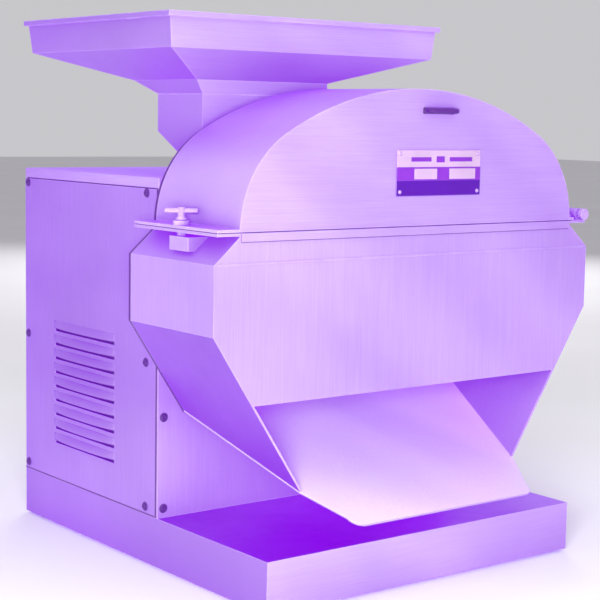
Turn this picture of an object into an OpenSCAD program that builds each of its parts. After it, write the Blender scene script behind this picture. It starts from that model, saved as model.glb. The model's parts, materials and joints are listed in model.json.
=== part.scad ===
// Bench hammer mill: sheet-steel plinth and motor cabinet, D-shaped grinding drum with a
// hinged upper cover, swing-hammer rotor on the motor shaft, feed hopper and discharge chute.
// Millimetres, +Z up, the front of the mill faces -Y. The origin is on the floor, at the
// centre of the plinth.

/* [Base] */
// Width of the plinth and of the cabinet
base_w = 450; // [440:2:470]
// Depth of the plinth, front to rear
base_d = 524; // [520:2:550]
// Height of the deck above the floor
base_h = 60; // [50:1:66]
// Thickness of the rubber pads under the plinth
pad_t = 3; // [2:0.5:5]

/* [Cabinet] */
// Height of the cabinet lid above the floor
cab_h = 446; // [444:1:456]
// Thickness of the sheet panels
sheet = 2; // [1.5:0.5:2.5]
// Number of louvres in each side panel
louvre_n = 9; // [5:1:9]
// Length of a louvre
louvre_l = 145; // [100:5:160]

/* [Drum] */
// Sideways place of the drum axis
drum_x = 14; // [10:1:20]
// Distance from the front of the plinth to the front plate
drum_setback = 46; // [44:1:60]
// Depth of the drum, front plate to back plate
drum_d = 160; // [156:1:162]
// Height of the joint between the lower housing and the cover
joint_z = 396; // [392:1:398]
// Half width of the cover at the joint
arch_a = 246; // [244:1:248]
// Rise of the cover above the joint
arch_b = 152; // [148:1:156]
// Radius of the cover's shoulders
arch_r = 118; // [110:1:122]
// Half width of the lower housing at its widest
side_w = 278; // [276:1:282]
// Height where the side walls start to slope inwards
side_z = 290; // [286:1:296]
// Slope of the lower side walls, sideways per unit of height
side_slope = 0.659; // [0.64:0.005:0.68]
// Height of the lower edge of the front plate
front_z = 214; // [212:1:220]

/* [Rotor] */
// Height of the rotor and motor axis
axis_z = 340; // [338:1:342]
// Radius swept by the hammer tips
tip_r = 111; // [108:1:114]
// Inside radius of the screen
screen_r = 118; // [116:1:121]
// Radius of the circle the hammer pins stand on
pin_circle_r = 66; // [62:1:68]
// Radius of the motor shaft
shaft_r = 15; // [14:0.5:16]

/* [Hopper] */
// Height of the hopper rim above the floor
hop_z = 630; // [620:1:640]
// Left edge of the hopper rim
hop_x0 = -210; // [-220:1:-200]
// Right edge of the hopper rim
hop_x1 = 186; // [180:1:200]
// Depth of the hopper rim, front to rear
hop_d = 330; // [300:1:340]

/* [Hidden] */
$fn = 64;

// Places along Y, from the front of the plinth
y0 = -base_d / 2;
front_y = y0 + drum_setback;
plate_t = 4;
front_t = 3;
shell = 2.5;
back_y = front_y + drum_d;
wall_y = back_y + plate_t;
cab_y = wall_y + sheet;
rear_y = base_d / 2;
half_w = base_w / 2;

// Plinth flanges, pads and cabinet frame
foot_flange = 50;
pad_r = 20;
bench_bolt_r = 4.5;
post = 20;
lid_h = 12;
panel_top = cab_h - lid_h - 1;

// Drum outline
gap = 0.3;
// height of the open joint under the cover's flange
seam = 1;
flange_t = 3;
flange_w = 28;
swage_l = 2 * side_w - 12;
strip_h = 9;
shoulder_z = joint_z - 32;
chute_z = 114;
chute_slope = 0.433;
chute_angle = atan(chute_slope);
function side_x(z) = side_w - (side_z - z) * side_slope;
function chute_top(y) = chute_z + (y - front_y) * chute_slope;
// The crown is an arc whose centre is below the joint, tangent to both shoulder arcs
crown_k = (pow(arch_a - arch_r, 2) - pow(arch_b - arch_r, 2)) / (2 * (arch_b - arch_r));
crown_r = arch_b + crown_k;

// Louvres
louvre_front = cab_y + 92;
louvre_z = 110;
louvre_pitch = 17.6;
louvre_h = 9;
louvre_depth = 5;

// Clamp and hinge
clamp_x = -arch_a - 19;
clamp_y = front_y + 80;
clamp_r = 5;
hinge_x = arch_a + 22;
hinge_rise = 7.5;
hinge_z = joint_z + hinge_rise;
barrel_r = 7;
pin_r = 3.5;
hinge_span = 150;
knuckles = 5;
knuckle_gap = 0.15;
knuckle_l = hinge_span / knuckles;
hinge_y = front_y + (drum_d - hinge_span) / 2;

// Rotor and motor, along Y from the inside face of the back plate towards the front
disc_t = 6;
disc_r = 88;
disc_rear_y = back_y - 22;
disc_step = 46;
hammer_t = 7;
hammer_step = 17;
hammer_w = 32;
hammer_pin_r = 6;
run = 0.05;
bolt_circle_r = 65;
motor_bolt_r = 4;
flange_y = cab_y;
bell_t = 24;
stator_l = 150;
stator_r = 70;
stator_y = flange_y + bell_t;
bell_y = stator_y + stator_l;
rear_bell_t = 18;
fan_y = bell_y + rear_bell_t + 6;
fan_t = 22;

// Hopper
hop_y = wall_y + 4;
rim_h = 40;
neck_x0 = -152;
neck_x1 = 30;
neck_y = wall_y + 25;
neck_d = 94;
neck_z = 540;
neck_rear_z = 496;
floor_z = cab_h + 1;
tunnel_z = 486;
sheet_h = 2;
neck_bolt_r = 2.5;

// ---------- helpers ----------

// Box from its two corners
module span(x0, x1, ya, yb, z0, z1) {
    translate([x0, ya, z0]) cube([x1 - x0, yb - ya, z1 - z0]);
}

// Cylinder along +Y from ya to yb
module rod(r, ya, yb, x = 0, z = 0) {
    translate([x, ya, z]) rotate([-90, 0, 0]) cylinder(r = r, h = yb - ya);
}

// Extrudes an outline drawn in X and Z from ya to yb
module slab(ya, yb) {
    translate([0, yb, 0]) rotate([90, 0, 0]) linear_extrude(yb - ya) children();
}

// Draws its children and their mirror image across X = 0
module both_sides() {
    children();
    mirror([1, 0, 0]) children();
}

// Places its children at the middle of the drum
module at_drum() {
    translate([drum_x, 0, 0]) children();
}

// Places its children on the rotor axis
module at_rotor() {
    translate([drum_x, 0, axis_z]) children();
}

// Frustum between two level rectangles [x0, x1, ya, yb]
module frustum(low, z0, high, z1) {
    function ring(q, z) = [[q[0], q[2], z], [q[1], q[2], z], [q[1], q[3], z], [q[0], q[3], z]];
    polyhedron(
        points = concat(ring(low, z0), ring(high, z1)),
        faces = [[0, 1, 2, 3], [7, 6, 5, 4], [0, 4, 5, 1], [1, 5, 6, 2], [2, 6, 7, 3], [3, 7, 4, 0]]
    );
}

// Half of the cover's outline, drawn about the middle of the joint, inset by t
module arch(t) {
    // ends of the two lines that part the crown's arc from the shoulder arcs
    far_x = 1.2 * crown_r;
    far_z = far_x * crown_k / (arch_a - arch_r) - crown_k;
    intersection() {
        union() {
            intersection() {
                translate([0, -crown_k]) circle(r = crown_r - t, $fn = 128);
                polygon([[0, -crown_k], [-far_x, far_z], [0, 3 * crown_r], [far_x, far_z]]);
            }
            for (s = [-1, 1]) translate([s * (arch_a - arch_r), 0]) circle(r = arch_r - t, $fn = 96);
            polygon([[-arch_a + arch_r, 0], [arch_a - arch_r, 0], [0, arch_b - t - 20]]);
        }
        translate([-arch_a, 0]) square([2 * arch_a, arch_b + 1]);
    }
}

// Outline of the lower drum down to height z, inset by t
module lower_outline(z, t = 0) {
    polygon([
        [-arch_a + t, joint_z], [arch_a - t, joint_z],
        [arch_a - t, joint_z - 4 - t / 3], [side_w - t, shoulder_z - t / 3],
        [side_w - t, side_z + t / 3], [side_x(z) - t * 1.2, z],
        [-side_x(z) + t * 1.2, z], [-side_w + t, side_z + t / 3],
        [-side_w + t, shoulder_z - t / 3], [-arch_a + t, joint_z - 4 - t / 3]
    ]);
}

// ---------- base ----------

module base_plinth() {
    color("silver") difference() {
        union() {
            difference() {
                span(-half_w, half_w, y0, rear_y, pad_t, base_h);
                span(-half_w + shell, half_w - shell, y0 + shell, rear_y - shell, -1, base_h - shell);
            }
            // inner flanges that stand on the pads
            both_sides() span(half_w - foot_flange, half_w - 1, y0 + 1, rear_y - 1, pad_t, pad_t + shell);
        }
        pad_places() translate([0, 0, -1]) cylinder(r = bench_bolt_r, h = 20);
    }
}

// Places its children at the four corners where the plinth is bolted down
module pad_places() {
    for (x = [-1, 1], y = [-1, 1]) translate([x * (half_w - 26), y * (base_d / 2 - 40), 0]) children();
}

module foot_pads() {
    color("dimgray") pad_places() difference() {
        cylinder(r = pad_r, h = pad_t);
        translate([0, 0, -1]) cylinder(r = bench_bolt_r, h = 20);
    }
}

// ---------- cabinet ----------

module cabinet_frame() {
    inner = half_w - sheet;
    ya = cab_y;
    yb = rear_y - sheet;
    z0 = base_h;
    z1 = cab_h - sheet;
    color("silver") difference() {
        union() {
            both_sides() {
                // corner posts, folded angles
                span(inner - post, inner, ya, ya + sheet, z0, z1);
                span(inner - sheet, inner, ya, ya + post, z0, z1);
                span(inner - post, inner, yb - sheet, yb, z0, z1);
                span(inner - sheet, inner, yb - post, yb, z0, z1);
                // side rails
                span(inner - sheet, inner, ya, yb, z1 - post, z1);
                span(inner - post, inner, ya, yb, z0, z0 + sheet);
            }
            // rear top rail
            span(-inner, inner, yb - sheet, yb, z1 - post, z1);
        }
        at_panel_screws() translate([0, 0, -20]) cylinder(r = screw_r + 0.1, h = 22);
    }
}

module cabinet_front_wall() {
    color("silver") difference() {
        span(-half_w, half_w, wall_y, cab_y, base_h, cab_h - sheet);
        at_rotor() rod(36, wall_y - 1, cab_y + 1);
        at_rotor() bolt_ring(motor_bolt_r + 0.5, wall_y - 1, cab_y + 1);
        wall_bolt_places() rod(wall_bolt_r + 0.3, wall_y - 1, cab_y + 1);
        for (p = wall_screws) rod(screw_r + 0.1, wall_y - 1, cab_y + 1, p[0], p[1]);
    }
}

// Four through holes on the motor's bolt circle
module bolt_ring(r, ya, yb) {
    for (a = [45:90:315]) rod(r, ya, yb, bolt_circle_r * cos(a), bolt_circle_r * sin(a));
}

// A side panel lying at x = 0 with its outer face towards +X
module side_panel_blank() {
    difference() {
        union() {
            span(-sheet, 0, cab_y + 2, rear_y, base_h + 1, panel_top);
            louvre_places() louvre_wedge(louvre_l, louvre_h, louvre_depth);
        }
        louvre_places() louvre_cut(louvre_l, louvre_h, louvre_depth);
        for (p = panel_screws_at) translate([-sheet - 1, p[0], p[1]]) rotate([0, 90, 0])
            cylinder(r = screw_r + 0.1, h = 10);
    }
}

module louvre_places() {
    for (i = [0:louvre_n - 1]) translate([0, louvre_front, louvre_z + i * louvre_pitch]) children();
}

// Wedge that a louvre is pressed into: flat top edge, full depth at the lower edge
module louvre_wedge(l, h, depth) {
    translate([0, l, 0]) rotate([90, 0, 0]) linear_extrude(l)
        polygon([[-1, 0], [depth, 0], [0, h], [-1, h]]);
}

// Space inside the wedge, open downwards and through the panel, whose slot starts below the wedge
module louvre_cut(l, h, depth) {
    t = 1.4;
    slot = 4;
    translate([0, l - t, 0]) rotate([90, 0, 0]) linear_extrude(l - 2 * t) polygon([
        [-sheet - 1, -slot], [1, -slot], [1, -0.01], [depth - t, -0.01], [-t, h - t], [-sheet - 1, h - t]
    ]);
}

// Sheet-metal screws: [y, z] on the side panels, [x, z] on the front wall and on the rear panel
screw_r = 2.5;
panel_screws_at = [for (y = [cab_y + 24, rear_y - 8], z = [base_h + 9, base_h + 176, cab_h - 18]) [y, z]];
// the upper right screw of the front wall sits lower, clear of the housing
wall_screws = [for (s = [-1, 1], z = [11, 103 - 13 * s]) [s * (half_w - 8), base_h + z]];
rear_screws = [for (x = [-half_w + 14, half_w - 14], z = [base_h + 12, cab_h - 24]) [x, z]];
gland_x = 120;
gland_z = base_h + 50;

module left_side_panel() {
    color("silver") mirror([1, 0, 0]) translate([half_w, 0, 0]) side_panel_blank();
}

switch_y = cab_y + 60;
switch_z = 370;
switch_w = 34;
switch_h = 70;

module right_side_panel() {
    color("silver") difference() {
        translate([half_w, 0, 0]) side_panel_blank();
        span(half_w - 10, half_w + 1, switch_y - switch_w / 2 - 1, switch_y + switch_w / 2 + 1,
             switch_z - switch_h / 2 - 1, switch_z + switch_h / 2 + 1);
    }
}

module rear_panel() {
    color("silver") difference() {
        span(-half_w + sheet, half_w - sheet, rear_y - sheet, rear_y, base_h + 1, panel_top);
        rod(10, rear_y - 10, rear_y + 1, gland_x, gland_z);
        for (p = rear_screws) rod(screw_r + 0.1, rear_y - 10, rear_y + 1, p[0], p[1]);
    }
}

module cabinet_lid() {
    color("silver") difference() {
        span(-half_w, half_w, cab_y, rear_y, cab_h - lid_h, cab_h);
        span(-half_w + sheet, half_w - sheet, cab_y - 1, rear_y - sheet, cab_h - 2 * lid_h, cab_h - sheet);
    }
}

// Pan-head screw along +Z, head on z = 0
module pan_screw(r_head, h_head, r_shank, l) {
    translate([0, 0, -l]) cylinder(r = r_shank, h = l + 0.5);
    difference() {
        cylinder(r = r_head, h = h_head);
        translate([0, 0, h_head]) cube([r_head * 1.4, 1, 2], center = true);
    }
}

// Places its children at every sheet-metal screw, with +Z out of the panel
module at_panel_screws() {
    for (s = [-1, 1], p = panel_screws_at) translate([s * half_w, p[0], p[1]]) rotate([0, s * 90, 0])
        children();
    for (p = wall_screws) translate([p[0], wall_y, p[1]]) rotate([90, 0, 0]) children();
    for (p = rear_screws) translate([p[0], rear_y, p[1]]) rotate([-90, 0, 0]) children();
}

module panel_screws() {
    color("gainsboro") at_panel_screws() pan_screw(5, 2.4, screw_r, 8);
}

module cable_gland() {
    color("dimgray") translate([gland_x, 0, gland_z]) difference() {
        union() {
            rod(9.8, rear_y - 12, rear_y + 0.5);
            translate([0, rear_y, 0]) rotate([-90, 0, 0]) cylinder(r = 14, h = 6, $fn = 6);
            rod(12, rear_y + 6, rear_y + 16);
            translate([0, rear_y - 8, 0]) rotate([-90, 0, 0]) cylinder(r = 14, h = 5, $fn = 6);
        }
        rod(5, rear_y - 20, rear_y + 20);
    }
}

// ---------- switch ----------

// Radius of the buttons, how far each is from the middle of the switch, and how far it can be pressed
button_r = 10;
button_z = 17;
button_travel = 4;

module switch_box() {
    color("dimgray") difference() {
        union() {
            span(half_w - 38, half_w, switch_y - switch_w / 2, switch_y + switch_w / 2,
                 switch_z - switch_h / 2, switch_z + switch_h / 2);
            span(half_w, half_w + 4, switch_y - switch_w / 2 - 5, switch_y + switch_w / 2 + 5,
                 switch_z - switch_h / 2 - 5, switch_z + switch_h / 2 + 5);
        }
        for (s = [-1, 1]) translate([half_w - 14, switch_y, switch_z + s * button_z]) rotate([0, 90, 0])
            cylinder(r = button_r + 0.3, h = 30);
    }
}

module button(z) {
    l = 13 + button_travel;
    translate([half_w - 3 - button_travel, switch_y, z]) rotate([0, 90, 0]) {
        cylinder(r = button_r, h = l);
        translate([0, 0, l]) cylinder(r1 = button_r, r2 = button_r - 1.5, h = 1.5);
    }
}

module start_button() {
    color("green") button(switch_z + button_z);
}

module stop_button() {
    color("red") button(switch_z - button_z);
}

// ---------- drum ----------

// Bolts that hold the back plate to the cabinet wall, in rows at three heights
wall_bolt_r = 3;
module wall_bolt_places() {
    for (row = [[167, 240], [176, 402], [98, 422]], s = [-1, 1])
        translate([drum_x + s * row[0], 0, row[1]]) children();
}

module drum_back_plate() {
    color("silver") difference() {
        at_drum() slab(back_y, wall_y) union() {
            translate([0, joint_z]) arch(0);
            translate([1 - arch_a, joint_z - 1]) square([2 * arch_a - 2, 2]);
            lower_outline(chute_top(back_y) - 4);
        }
        at_rotor() rod(20, back_y - 1, wall_y + 1);
        at_rotor() bolt_ring(motor_bolt_r + 0.5, back_y - 1, wall_y + 1);
        span(neck_x0 + sheet_h, neck_x1 - sheet_h, back_y - 1, wall_y + 1,
             floor_z + sheet_h, tunnel_z - sheet_h);
        wall_bolt_places() rod(wall_bolt_r + 0.3, back_y - 1, wall_y + 1);
        neck_bolt_places() rod(neck_bolt_r + 0.1, back_y - 1, wall_y + 1);
    }
}

module back_plate_bolts() {
    color("gainsboro") wall_bolt_places() {
        rod(wall_bolt_r, back_y - 1, cab_y + 8);
        translate([0, back_y, 0]) rotate([90, 0, 0]) cylinder(r = 6, h = 4, $fn = 6);
        translate([0, cab_y, 0]) rotate([-90, 0, 0]) cylinder(r = 6, h = 5, $fn = 6);
    }
}

// Cuts away everything under the chute
module chute_cut(drop) {
    translate([-400, front_y - 200, chute_top(front_y - 200) - drop]) rotate([chute_angle, 0, 0])
        translate([0, 0, -300]) cube([800, 600, 300]);
}

module lower_housing() {
    color("silver") at_drum() {
        // side walls
        difference() {
            slab(front_y, back_y) difference() {
                lower_outline(90);
                lower_outline(80, shell);
                translate([-arch_a + shell, joint_z - 10]) square([2 * (arch_a - shell), 20]);
            }
            chute_cut(0);
        }
        lower_sides();
    }
}

// Front plate, swage line and the two outward flanges of the lower housing
module lower_sides() {
    slab(front_y, front_y + front_t) lower_outline(front_z);
    slab(front_y - 0.8, front_y + 0.5) translate([-swage_l / 2, shoulder_z - 1]) square([swage_l, 2]);
    difference() {
        both_sides() span(arch_a - 1, arch_a + flange_w, front_y, back_y, joint_z - flange_t, joint_z);
        translate([clamp_x, clamp_y, joint_z - 20]) cylinder(r = clamp_r + 1.6, h = 40);
    }
}

module joint_strip() {
    color("silver") at_drum() slab(front_y - 1.8, front_y) translate([-arch_a + 2, joint_z - strip_h])
        square([2 * arch_a - 4, strip_h]);
}

module discharge_chute() {
    rise = 1 / cos(chute_angle);
    lip_l = 64 * rise;
    back_l = drum_d * rise;
    lip_w = 136;
    mouth_w = side_x(chute_z);
    back_w = side_x(chute_top(back_y));
    r = 16;
    color("silver") at_drum() translate([0, front_y, chute_z]) rotate([chute_angle, 0, 0])
        translate([0, 0, -shell]) linear_extrude(shell) {
            polygon([[-back_w, back_l - 1], [-mouth_w, 0], [-lip_w, -lip_l + r], [lip_w, -lip_l + r],
                     [mouth_w, 0], [back_w, back_l - 1]]);
            translate([-lip_w + r, -lip_l]) square([2 * (lip_w - r), r + 1]);
            for (s = [-1, 1]) translate([s * (lip_w - r), -lip_l + r]) circle(r = r);
        }
}

// ---------- screen ----------

screen_t = 1.5;
screen_rows = 8;
screen_cols = 20;
rail_x = screen_r + 19;

module screen() {
    ya = front_y + front_t + 1;
    yb = back_y - 1;
    slot_w = 4;
    pitch = (yb - ya) / screen_rows;
    color("darkgray") at_rotor() difference() {
        slab(ya, yb) difference() {
            circle(r = screen_r + screen_t, $fn = 128);
            circle(r = screen_r, $fn = 128);
            translate([-200, 0]) square([400, 200]);
        }
        for (c = [0:screen_cols - 1], i = [0:screen_rows - 1])
            rotate([0, (c + 0.5) * 180 / screen_cols, 0])
                translate([screen_r - 5, ya + pitch * (i + 0.2), -slot_w / 2])
                    cube([12, pitch * 0.6, slot_w]);
    }
}

// Half hoops at each end that the screen slides into
module screen_guides() {
    hoop_w = 8;
    hoop_t = 6;
    color("silver") at_rotor() for (y = [front_y + front_t, back_y - hoop_w])
        slab(y, y + hoop_w) difference() {
        circle(r = screen_r + screen_t + gap + hoop_t, $fn = 128);
        circle(r = screen_r + screen_t + gap, $fn = 128);
        translate([-200, 0]) square([400, 200]);
    }
}

module screen_rails() {
    color("silver") at_rotor() both_sides()
        span(screen_r - 1, rail_x, front_y + front_t, back_y, gap, gap + 10);
}

module baffle_plates() {
    color("silver") at_rotor() both_sides()
        span(rail_x + gap, side_w - shell - 0.5, front_y + front_t, back_y, 3, 5.5);
}

// ---------- upper cover ----------

module upper_cover() {
    rear = back_y - 0.6;
    z = joint_z + seam;
    color("silver") at_drum() {
        slab(front_y, rear) translate([0, z]) difference() {
            arch(0);
            arch(shell);
        }
        difference() {
            slab(front_y, front_y + front_t) translate([0, z]) arch(0.2);
            for (x = [-1, 1]) rod(2.1, front_y - 1, front_y + 9, handle_x + x * handle_l / 2, handle_z);
            label_corners() rod(rivet_r + 0.1, front_y - 1, front_y + 9);
        }
        difference() {
            span(-arch_a - flange_w, -arch_a + 1, front_y, rear, z, z + flange_t);
            translate([clamp_x, clamp_y, joint_z - 20]) cylinder(r = clamp_r + run, h = 40);
        }
        difference() {
            span(arch_a - 1, arch_a + 8, front_y, rear, z, z + flange_t);
            translate([hinge_x, 0, z - 1]) hinge_screw_places() cylinder(r = 2.1, h = 9);
        }
    }
}

// Blank rating plate and its rivets, and the pull on the cover, measured from the middle of the drum
label_x = 28;
label_z = 456;
label_w = 126;
label_h = 50;
rivet_r = 1.5;
handle_x = 26;
handle_z = 525;
handle_l = 38;

module label_corners() {
    for (x = [-1, 1], q = [-1, 1])
        translate([label_x + x * (label_w / 2 - 4), 0, label_z + q * (label_h / 2 - 4)]) children();
}

module cover_handle() {
    r = 3;
    reach = 10;
    color("gainsboro") at_drum() translate([handle_x, front_y, handle_z]) {
        rotate([0, 90, 0]) translate([0, -reach, -handle_l / 2 - 4]) cylinder(r = r, h = handle_l + 8);
        for (x = [-1, 1]) {
            rod(3, -reach, 0, x * handle_l / 2);
            rod(2, -1, 6, x * handle_l / 2);
        }
    }
}

module label_plate() {
    color("white") at_drum() difference() {
        span(label_x - label_w / 2, label_x + label_w / 2, front_y - 1, front_y,
             label_z - label_h / 2, label_z + label_h / 2);
        label_corners() rod(rivet_r + 0.1, front_y - 5, front_y + 9);
    }
}

module label_rivets() {
    color("gainsboro") at_drum() label_corners() translate([0, front_y - 1, 0]) {
        rod(rivet_r, -0.5, 6);
        rotate([90, 0, 0]) cylinder(r1 = 2.6, r2 = 1.6, h = 1.2, $fn = 32);
    }
}

// ---------- hinge ----------

// Every second knuckle of the barrel, from number first on
module knuckle_row(first) {
    for (i = [first:2:knuckles - 1]) translate([0, hinge_y + i * knuckle_l, 0])
        rod(barrel_r, knuckle_gap, knuckle_l - knuckle_gap);
}

module hinge_body_leaf() {
    color("silver") at_drum() translate([hinge_x, 0, hinge_z]) difference() {
        union() {
            knuckle_row(0);
            for (i = [0:2:knuckles - 1]) translate([0, hinge_y + i * knuckle_l, 0])
                span(-3, 3, knuckle_gap, knuckle_l - knuckle_gap, -hinge_rise, -4);
            span(-10, 5, hinge_y, hinge_y + hinge_span, -hinge_rise, -7.2);
        }
        rod(pin_r, hinge_y - 1, hinge_y + hinge_span + 1);
    }
}

module hinge_cover_leaf() {
    z = seam + flange_t - hinge_rise;
    color("silver") at_drum() translate([hinge_x, 0, hinge_z]) difference() {
        union() {
            knuckle_row(1);
            for (i = [1:2:knuckles - 1]) translate([0, hinge_y + i * knuckle_l, 0])
                span(-20, -3, knuckle_gap, knuckle_l - knuckle_gap, z, z + 3);
            span(-21.4, -14, hinge_y, hinge_y + hinge_span, z, z + 3);
        }
        rod(pin_r + run, hinge_y - 1, hinge_y + hinge_span + 1);
        hinge_screw_places() translate([0, 0, z - 1]) cylinder(r = 2.1, h = 9);
    }
}

// Screws of the cover leaf, relative to the hinge axis
module hinge_screw_places() {
    for (i = [0:2]) translate([-17.5, hinge_y + hinge_span * (i * 2 + 1) / 6, 0]) children();
}

module hinge_pin() {
    color("gainsboro") at_drum() translate([hinge_x, 0, hinge_z]) {
        rod(pin_r, hinge_y - 6, hinge_y + hinge_span + 1);
        rod(barrel_r, hinge_y - 10, hinge_y - 5);
    }
}

module hinge_screws() {
    color("gainsboro") at_drum() translate([hinge_x, 0, hinge_z]) hinge_screw_places()
        translate([0, 0, seam + flange_t + 3 - hinge_rise]) pan_screw(3, 1.6, 2, 5);
}

// ---------- clamp ----------

block_top = joint_z - 7;
block_floor = block_top - 8;
washer_z = joint_z + seam + flange_t;
washer_t = 5;
boss_r = 6.5;
boss_h = 14;
boss_z = washer_z + washer_t;
bar_r = 3.2;
bar_l = 36;
bar_angle = -38;

// How far out the sloping shoulder of the lower housing is at height z
function shoulder_x(z) = side_w - (z - shoulder_z) * (side_w - arch_a) / (joint_z - 4 - shoulder_z);

// Places its children on the clamp's axis
module at_clamp(z) {
    translate([drum_x + clamp_x, clamp_y, z]) children();
}

module clamp_block() {
    low = block_top - 15;
    outer = clamp_x - 10;
    color("silver") difference() {
        at_drum() slab(clamp_y - 28, clamp_y + 8) polygon([
            [-shoulder_x(low), low], [outer, low], [outer, block_top], [-shoulder_x(block_top), block_top]
        ]);
        at_clamp(block_floor) cylinder(r = clamp_r + 0.9, h = 20);
    }
}

module clamp_washer() {
    color("gainsboro") at_clamp(washer_z) difference() {
        cylinder(r = 9, h = washer_t);
        translate([0, 0, -1]) cylinder(r = clamp_r + run, h = washer_t + 2);
    }
}

module clamp_screw() {
    tip = block_floor + 0.5;
    color("gainsboro") {
        at_clamp(tip) cylinder(r = clamp_r, h = boss_z + 1 - tip);
        difference() {
            at_clamp(boss_z) cylinder(r = boss_r, h = boss_h);
            bar_rod(boss_r + 5);
        }
    }
}

// Cross bar of the clamp, reaching l to each side
module bar_rod(l) {
    at_clamp(boss_z + boss_h - bar_r - 1) rotate([0, 90, bar_angle]) translate([0, 0, -l])
        cylinder(r = bar_r, h = 2 * l);
}

module clamp_bar() {
    color("gainsboro") bar_rod(bar_l / 2);
}

// ---------- rotor ----------

// Places its children on the four hammer pins, relative to the rotor axis
module pin_places() {
    for (a = [0:90:270]) translate([pin_circle_r * cos(a), 0, pin_circle_r * sin(a)]) children();
}

module rotor_disc(y) {
    color("slategray") at_rotor() difference() {
        rod(disc_r, y, y + disc_t);
        rod(shaft_r, y - 1, y + disc_t + 1);
        pin_places() rod(hammer_pin_r, y - 1, y + disc_t + 1);
    }
}

module rotor_disc_rear() {
    rotor_disc(disc_rear_y);
}

module rotor_disc_middle() {
    rotor_disc(disc_rear_y - disc_step);
}

module rotor_disc_front() {
    rotor_disc(disc_rear_y - 2 * disc_step);
}

module shaft_spacers() {
    color("gray") at_rotor() for (i = [0:1]) difference() {
        rod(24, disc_rear_y - (i + 1) * disc_step + disc_t, disc_rear_y - i * disc_step);
        rod(shaft_r, back_y - 200, back_y);
    }
}

module hammer_pins() {
    head = 3;
    ya = disc_rear_y - 2 * disc_step - head;
    yb = disc_rear_y + disc_t;
    color("gainsboro") at_rotor() pin_places() {
        rod(hammer_pin_r, ya, yb + head);
        for (y = [ya, yb]) rod(hammer_pin_r + 3, y, y + head);
    }
}

// The hammers of one pin, at angle a, two to each gap between discs
module hammer_row(a, shift) {
    // the tip's corners, not its middle, sweep the tip circle
    reach = sqrt(pow(tip_r, 2) - pow(hammer_w / 2, 2)) - pin_circle_r;
    color("dimgray") at_rotor() rotate([0, -a, 0]) for (i = [0:1], k = [0:1]) {
        y = disc_rear_y - (i + 1) * disc_step + disc_t + 5 + shift + k * hammer_step;
        difference() {
            slab(y, y + hammer_t) {
                translate([pin_circle_r, -hammer_w / 2]) square([reach, hammer_w]);
                translate([pin_circle_r, 0]) circle(r = hammer_w / 2);
            }
            rod(hammer_pin_r + run, y - 1, y + hammer_t + 1, pin_circle_r);
        }
    }
}

module hammers_right() {
    hammer_row(0, 0);
}

module hammers_top() {
    hammer_row(90, 5);
}

module hammers_left() {
    hammer_row(180, 0);
}

module hammers_bottom() {
    hammer_row(270, 5);
}

end_y = disc_rear_y - 2 * disc_step;

module rotor_end_washer() {
    color("gainsboro") at_rotor() difference() {
        rod(24, end_y - 5, end_y);
        rod(5, end_y - 6, end_y + 1);
    }
}

module rotor_end_bolt() {
    color("gainsboro") at_rotor() {
        rod(5, end_y - 6, end_y + 22);
        translate([0, end_y - 5, 0]) rotate([90, 0, 0]) cylinder(r = 9.8, h = 7, $fn = 6);
    }
}

// ---------- motor ----------

module motor_shaft() {
    color("gainsboro") at_rotor() difference() {
        union() {
            rod(shaft_r, end_y, bell_y);
            rod(12.5, bell_y - 1, fan_y + fan_t + 2);
        }
        rod(5, end_y - 1, end_y + 22);
    }
}

module motor_core() {
    color("slategray") at_rotor() difference() {
        rod(44, stator_y + 20, bell_y - 20);
        rod(shaft_r, stator_y, bell_y);
    }
}

module motor_frame() {
    fins = 32;
    fin_t = 2.4;
    color("steelblue") at_rotor() {
        slab(stator_y, bell_y) difference() {
            union() {
                circle(r = stator_r + 4);
                for (i = [0:fins - 1]) rotate(i * 360 / fins)
                    translate([0, -fin_t / 2]) square([stator_r + 13, fin_t]);
            }
            circle(r = stator_r);
        }
        // stator laminations
        slab(stator_y + 20, bell_y - 20) difference() {
            circle(r = stator_r + 0.5);
            circle(r = 45);
        }
    }
}

module motor_front_bell() {
    color("steelblue") at_rotor() difference() {
        union() {
            rod(80, flange_y, flange_y + 12);
            rod(stator_r + 4, flange_y + 6, stator_y);
        }
        rod(20, flange_y - 1, flange_y + 30);
        rod(31, flange_y + 6, stator_y + 1);
        bolt_ring(motor_bolt_r + 0.5, flange_y - 1, flange_y + 13);
        // room for the nuts
        bolt_ring(11, flange_y + 12, stator_y + 1);
    }
}

module motor_rear_bell() {
    color("steelblue") at_rotor() difference() {
        rod(stator_r + 4, bell_y, bell_y + rear_bell_t);
        rod(26, bell_y - 1, bell_y + 15);
        rod(16, bell_y - 1, bell_y + 30);
    }
}

module front_bearing() {
    color("gainsboro") at_rotor() difference() {
        rod(31, flange_y + 6, flange_y + 22);
        rod(shaft_r + run, flange_y, flange_y + 40);
    }
}

module rear_bearing() {
    color("gainsboro") at_rotor() difference() {
        rod(26, bell_y, bell_y + 15);
        rod(shaft_r + 1, bell_y - 1, bell_y + 0.5);
        rod(12.5 + run, bell_y - 1, bell_y + 40);
    }
}

module shaft_seal() {
    color("gray") at_rotor() difference() {
        union() {
            rod(34, back_y - 8, back_y);
            rod(20, back_y - 1, wall_y);
        }
        rod(shaft_r + run, back_y - 10, wall_y + 5);
    }
}

module cooling_fan() {
    color("dimgray") at_rotor() difference() {
        union() {
            rod(22, fan_y, fan_y + fan_t);
            rod(60, fan_y, fan_y + 2.5);
            for (a = [0:45:315]) rotate([0, a, 0]) span(20, 60, fan_y, fan_y + fan_t, -1.2, 1.2);
        }
        rod(12.5, fan_y - 1, fan_y + fan_t + 1);
    }
}

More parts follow.
